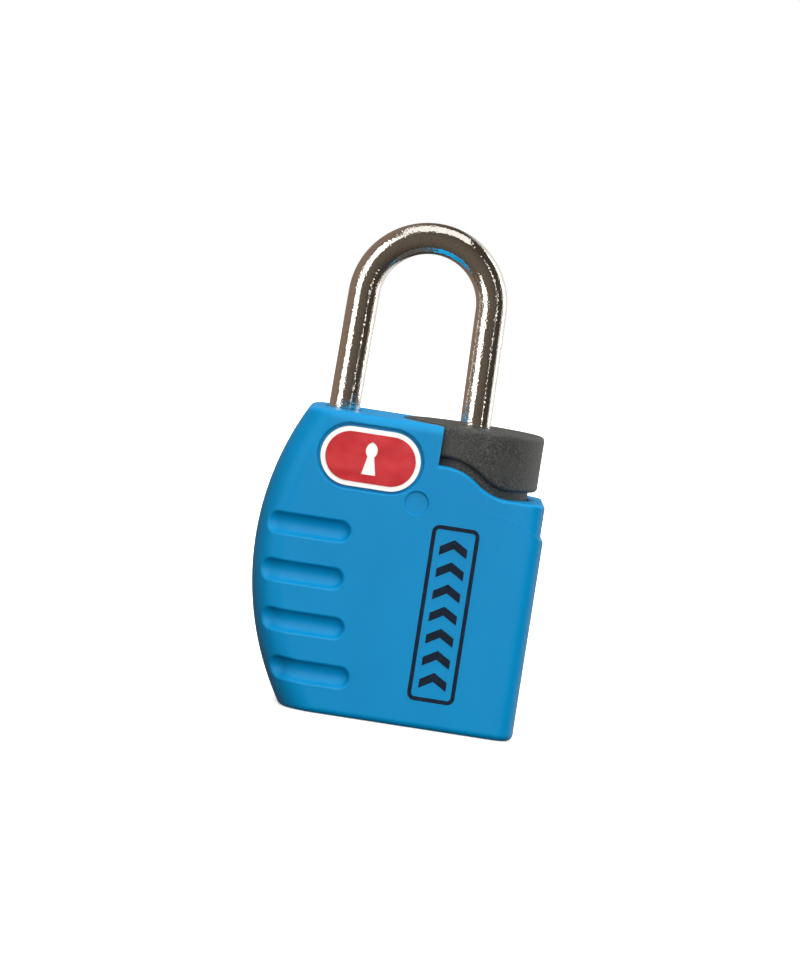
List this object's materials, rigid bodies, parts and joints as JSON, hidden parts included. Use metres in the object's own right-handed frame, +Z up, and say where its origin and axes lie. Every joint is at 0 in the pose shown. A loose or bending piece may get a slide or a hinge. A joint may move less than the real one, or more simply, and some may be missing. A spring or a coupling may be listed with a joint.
{
  "type": "padlock",
  "caption": "Small keyed luggage padlock with a two-part moulded casing, grip flutes, a long plated shackle and a round collar on its heel leg.",
  "frame": {"origin": "middle of the footprint, on the flat base", "axes": "+X to the right in the front view, towards the heel leg; +Y to the back; +Z up along the shackle legs"},
  "size_m": [0.03, 0.015, 0.0526],
  "materials": {
    "casing_blue": "satin moulded plastic",
    "badge_white": "gloss",
    "badge_red": "gloss under a clear dome",
    "collar_black": "fine spark-eroded grain",
    "shackle_plating": "nickel plated, bright",
    "zinc_casting": "as cast",
    "steel_sheet": "rolled sheet",
    "steel_pin": "drawn",
    "spring_steel": "drawn wire",
    "brass_turned": "turned",
    "brass_plug": "turned",
    "brass_plate": "stamped"
  },
  "bodies": {
    "casing": {"front_shell": "casing_blue", "rear_shell": "casing_blue", "badge_plate": "badge_white", "badge_inlay": "badge_red", "lock_case": "zinc_casting", "case_cover": "steel_sheet", "case_rivets": "steel_pin", "heel_retaining_pin": "steel_pin", "cylinder_pin": "steel_pin", "cylinder_housing": "brass_turned", "heel_spring": "spring_steel"},
    "shackle": {"shackle": "shackle_plating", "shackle_collar": "collar_black"},
    "plug": {"key_plug": "brass_plug", "wafer_1": "brass_plate", "wafer_2": "brass_plate", "wafer_3": "brass_plate", "wafer_4": "brass_plate", "wafer_5": "brass_plate", "wafer_springs": "spring_steel", "plug_clip": "spring_steel", "tailpiece": "zinc_casting"},
    "bolt": {"locking_bolt": "steel_pin"}
  },
  "joints": [
    {"name": "shackle_lift", "type": "slide", "parent": "casing", "child": "shackle", "axis": [0, 0, 1], "range_m": [0, 0.0075], "deforming": ["heel_spring"]},
    {"name": "plug_turn", "type": "hinge", "parent": "casing", "child": "plug", "pos_m": [-0.004, 0, 0], "axis": [0, 0, 1], "range_deg": [0, 90]},
    {"name": "bolt_slide", "type": "slide", "parent": "casing", "child": "bolt", "axis": [-1, 0, 0], "range_m": [0, 0.00141]}
  ],
  "couplings": [
    {"joint": "plug_turn", "follows": "bolt_slide", "rad_per_m": 1110.7}
  ]
}
